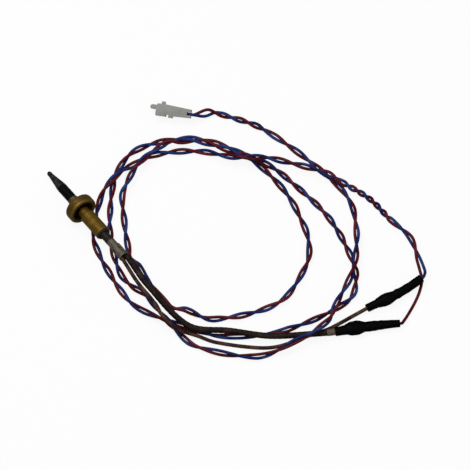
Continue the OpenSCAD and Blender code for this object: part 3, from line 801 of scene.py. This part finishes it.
def braided(name, node, core_node, braid, relief_mm, slot, mouth):
    """A braided sleeving as a closed tube whose yarns stand up in the mesh. braid is its count of
    strands and their pitch, relief_mm how deep the weave is, mouth the radius at the ferrule."""
    strands, pitch = braid
    radius = LEAD_RADIUS[core_node]
    sides = strands * 4
    core = smooth(centreline(core_node, SLEEVE_AT), 0.25 * MM)
    ferrule_back = span("crimp_ferrule")[0]
    along = (core - SLEEVE_AT) @ TIP_WAY / MM
    start = int(np.argmax(along < ferrule_back + 0.9))
    far = lengths_along(core)
    bare = np.linalg.norm(cad_points(node) - core[-1], axis=1).min()
    path = cut_path(core, far[start], far[-1] - (bare - 0.3 * MM))
    run = lengths_along(path) / MM
    swell = np.clip(run / 2.6, 0, 1)
    radii = mouth + (radius - mouth) * swell * swell * (3 - 2 * swell)
    angles = 2 * math.pi * np.arange(sides) / sides
    half = strands / 2

    def outline(i):
        turn = 2 * math.pi * run[i] / pitch
        weave = np.sin(half * angles + turn) * np.sin(half * angles - turn)
        out = radii[i] - relief_mm * (0.5 - 0.5 * weave)
        return out * np.cos(angles), out * np.sin(angles)

    outer = rings_along(path, outline)
    inner = rings_along(path, round_outline([CORE_HOLD] * len(path), sides))
    kept = sorted(set(range(0, len(path), BORE_STEP)) | {len(path) - 1})
    rings = outer + [inner[i] for i in reversed(kept)]
    uvs = ring_uvs(path, sides) + [(k / sides, run[i]) for i in reversed(kept) for k in range(sides)]
    faces = grid_faces(len(rings), sides, True)
    new_piece(name, np.vstack(rings), faces, uvs, CABLE, looks[slot], [node], 70)


# ---- Splices ----

def splice_axis(lead, wire):
    """Where a splice's lead side meets its wire side: a point on its axis and its direction."""
    lead_end = centreline(lead, SLEEVE_AT)[-1]
    wire_end = centreline(wire, PLUG_AT)[-1]
    way = wire_end - lead_end
    return lead_end, way / np.linalg.norm(way)


def shrink(name, node, lead, wire, bow, folds):
    """Heat-shrink sleeve over a splice. Its rings take the CAD node's widths; it bows sideways by bow mm
    and folds lists (distance, reach, height) ridges where it has drawn tight over what it holds."""
    start, way = splice_axis(lead, wire)
    points = (cad_points(node) - start) / MM
    along = points @ way
    level = np.cross([0, 0, 1], way)
    level /= np.linalg.norm(level)
    upward = np.cross(way, level)
    side, rise = points @ level, points @ upward
    stations = sorted({round(a, 2) for a in along})
    groups = [np.abs(along - s) < 0.02 for s in stations]
    rows = [(s, np.ptp(side[g]) / 2, np.ptp(rise[g]) / 2, (side[g].max() + side[g].min()) / 2)
            for s, g in zip(stations, groups)]
    table = np.array(rows)
    low, high = table[0, 0], table[-1, 0]
    far = np.linspace(low, high, int((high - low) / SHRINK_STEP))
    wide, tall, shift = (eased(far, table[:, 0], table[:, k]) for k in (1, 2, 3))
    share = (far - low) / (high - low)
    aside = shift + bow * np.sin(math.pi * share ** 1.3)
    middle = start + MM * (np.outer(far, way) + np.outer(aside, level))
    angles = 2 * math.pi * np.arange(SHRINK_SIDES) / SHRINK_SIDES

    def outline(i):
        near = min(far[i] - low, high - far[i])
        round_off = 1 - 0.06 * max(0, 1 - near / SHRINK_LIP) ** 2
        ridge = sum(height * math.exp(-((far[i] - at) / reach) ** 2) for at, reach, height in folds)
        places = [Vector((1.6 * math.cos(a), 1.6 * math.sin(a), far[i] / 2.2 + bow)) for a in angles]
        wobble = np.array([noise.noise(place) for place in places])
        grow = round_off * (1 + 0.03 * wobble) + ridge
        return wide[i] * grow * np.cos(angles), tall[i] * grow * np.sin(angles)

    outer = rings_along(middle, outline)
    lead_hold = LEAD_RADIUS[lead] + 0.02
    wire_hold = bar_radius(wire) + WIRE_SWELL + 0.02
    inside = []
    for i in range(len(far)):
        near = min(far[i] - low, high - far[i])
        open_share = 0.5 + 0.5 * math.cos(math.pi * min(1, near / SHRINK_MOUTH))
        tight = lead_hold if far[i] < (low + high) / 2 else wire_hold
        mouth = min(wide[i], tall[i]) - SHRINK_WALL
        inside.append(tight + (mouth - tight) * open_share)
    held = start + MM * np.outer(far, way)
    share_in = np.clip(np.minimum(far - low, high - far) / SHRINK_MOUTH, 0, 1)[:, None]
    inner_path = middle * (1 - share_in) + held * share_in
    inner = rings_along(inner_path, round_outline(inside, SHRINK_SIDES))
    rings = outer + inner[::-1]
    there_and_back = np.concatenate([far, far[::-1]])
    uvs = [(k / SHRINK_SIDES, f) for f in there_and_back for k in range(SHRINK_SIDES)]
    faces = grid_faces(len(rings), SHRINK_SIDES, True)
    new_piece(name, np.vstack(rings), faces, uvs, CABLE, looks["heatshrink"], [node], 60)


def eased(at, stations, values, count=3):
    """Values along a run, averaged over a count of neighbours so that no ring shows a corner."""
    linear = np.interp(at, stations, values)
    soft = np.ones(count) / count
    padded = np.pad(linear, count // 2, mode="edge")
    return np.convolve(padded, soft, mode="valid")


def end_tube():
    start, way = splice_axis("thick_lead_core", "red_wire")
    low, high, radius, bore = span("thick_lead_end_tube", start, way)
    corners = [(low, bore, 0), (low, radius, 0.08), (high, radius, 0.08), (high, bore, 0)]
    turn_piece("end_tube", fine(rounded(corners), 0.4), "clear_tube", "thick_lead_end_tube",
               start=start, way=way, dent=outer_only(uneven(0.05, 1.5, 17), radius - 0.02), sides=64)


# ---- Wires ----

def insulation(name, node, slot):
    path = smooth(centreline(node, PLUG_AT), 0.7 * MM)
    swept(name, path, bar_radius(node) + WIRE_SWELL, WIRE_SIDES, looks[slot], [node])


# ---- Build ----

tip_bead()
tip_sheath()
collar()
flange()
sleeve()
seal_ring()
tail_tube()
ferrule()
braided("thin_lead_sleeve", "thin_lead_sleeving", "thin_lead_core", THIN_BRAID, 0.08, "lead_thin", 0.85)
braided("thick_lead_sleeve", "thick_lead_sleeving", "thick_lead_core", THICK_BRAID, 0.14, "lead_thick",
        1.15)
end_tube()
shrink("upper_shrink", "upper_heatshrink", "thin_lead_core", "blue_wire", -1.1,
       [(0.8, 3, 0.12), (6.8, 0.9, 0.13), (12.3, 0.7, 0.04), (14.6, 0.6, -0.04), (31, 2.6, 0.14)])
shrink("lower_shrink", "lower_heatshrink", "thick_lead_core", "red_wire", 0.5,
       [(4.8, 1.4, -0.1), (9.8, 1.0, 0.05), (13.2, 0.7, 0.07), (31.5, 3, 0.06)])
insulation("red_insulation", "red_wire", "wire_red")
insulation("blue_insulation", "blue_wire", "wire_blue")
softened("plug_body", "plug_housing", 0.12, CABLE, looks["nylon"])
softened("plug_latch_arm", "plug_latch", 0.1, LATCH, looks["nylon"])

inner_slots = {
    "inner_electrode": "electrode", "electrode_insulator": "ceramic",
    "thin_lead_core": "copper", "thick_lead_core": "copper",
    "red_wire_core": "copper", "blue_wire_core": "copper",
    "upper_splice_crimp": "tinned", "lower_splice_crimp": "tinned",
    "red_contact": "tinned", "blue_contact": "tinned"
}
for node, slot in inner_slots.items():
    kept = frame["nodes"][node]
    kept.data.materials.clear()
    kept.data.materials.append(looks[slot])


# ---- Studio ----

# The camera's height in degrees, the width it sees, its distance and the point it looks at, in m
VIEW_ELEVATION = 65
VIEW_WIDTH = 235 * MM
CAMERA_FAR = 1.3
AIM = Vector((69.9, -0.7, -10.9)) * MM


def camera():
    made = bpy.data.cameras.new("camera")
    made.type = "ORTHO"
    made.ortho_scale = VIEW_WIDTH
    made.clip_end = 10
    holder = bpy.data.objects.new("camera", made)
    bpy.context.scene.collection.objects.link(holder)
    rise = math.radians(VIEW_ELEVATION)
    back = Vector((0, -math.cos(rise), math.sin(rise)))
    holder.location = AIM + back * CAMERA_FAR
    holder.rotation_euler = (-back).to_track_quat("-Z", "Y").to_euler()
    bpy.context.scene.camera = holder


def floor():
    """A pale sheet: bright to the camera, and a quieter grey in what the metals mirror."""
    made = bmesh.new()
    bmesh.ops.create_grid(made, x_segments=8, y_segments=8, size=4)
    mesh = bpy.data.meshes.new("floor")
    made.to_mesh(mesh)
    made.free()
    sheet = bpy.data.objects.new("floor", mesh)
    bpy.context.scene.collection.objects.link(sheet)
    sheet.location = (AIM.x, AIM.y, FLOOR_Z - 0.05 * MM)
    look = bpy.data.materials.new("floor")
    look.use_nodes = True
    tree = look.node_tree
    tree.nodes.clear()
    seen = add(tree, "ShaderNodeLightPath").outputs["Is Camera Ray"]
    pale = add(tree, "ShaderNodeBsdfDiffuse", [("Color", (0.12, 0.12, 0.12, 1))])
    glow = add(tree, "ShaderNodeEmission", [("Color", (1, 1, 1, 1)), ("Strength", 0.9)])
    bright = add(tree, "ShaderNodeAddShader", [(0, pale.outputs[0]), (1, glow.outputs[0])])
    quiet = add(tree, "ShaderNodeBsdfDiffuse", [("Color", (0.35, 0.35, 0.36, 1))])
    both = add(tree, "ShaderNodeMixShader", [(0, seen), (1, quiet.outputs[0]), (2, bright.outputs[0])])
    add(tree, "ShaderNodeOutputMaterial", [("Surface", both.outputs[0])])
    sheet.data.materials.append(look)


def lamp(name, place, size, power):
    """A soft square light, aimed at the middle of the object."""
    made = bpy.data.lights.new(name, "AREA")
    made.shape = "SQUARE"
    made.size = size
    made.energy = power
    holder = bpy.data.objects.new(name, made)
    bpy.context.scene.collection.objects.link(holder)
    holder.location = AIM + Vector(place)
    holder.rotation_euler = (-Vector(place)).to_track_quat("-Z", "Y").to_euler()


def world():
    """White to the camera; a grey room that is brighter overhead to everything else."""
    made = bpy.data.worlds.new("studio")
    bpy.context.scene.world = made
    made.use_nodes = True
    tree = made.node_tree
    tree.nodes.clear()
    seen = add(tree, "ShaderNodeLightPath").outputs["Is Camera Ray"]
    way = add(tree, "ShaderNodeTexCoord").outputs["Generated"]
    height = add(tree, "ShaderNodeSeparateXYZ", [("Vector", way)]).outputs["Z"]
    sky = ramp(tree, height, [(0.0, 0.1), (0.55, 0.22), (1.0, 0.6)])
    room = add(tree, "ShaderNodeBackground", [("Color", sky), ("Strength", 1.0)])
    white = add(tree, "ShaderNodeBackground", [("Color", (1, 1, 1, 1)), ("Strength", 1.0)])
    both = add(tree, "ShaderNodeMixShader", [(0, seen), (1, room.outputs[0]), (2, white.outputs[0])])
    add(tree, "ShaderNodeOutputWorld", [("Surface", both.outputs[0])])


camera()
floor()
world()
lamp("key", (-0.32, 0.12, 0.85), 0.5, 3.0)
lamp("fill", (0.7, -0.4, 0.6), 0.8, 1.2)
bpy.context.scene.view_settings.view_transform = "Standard"
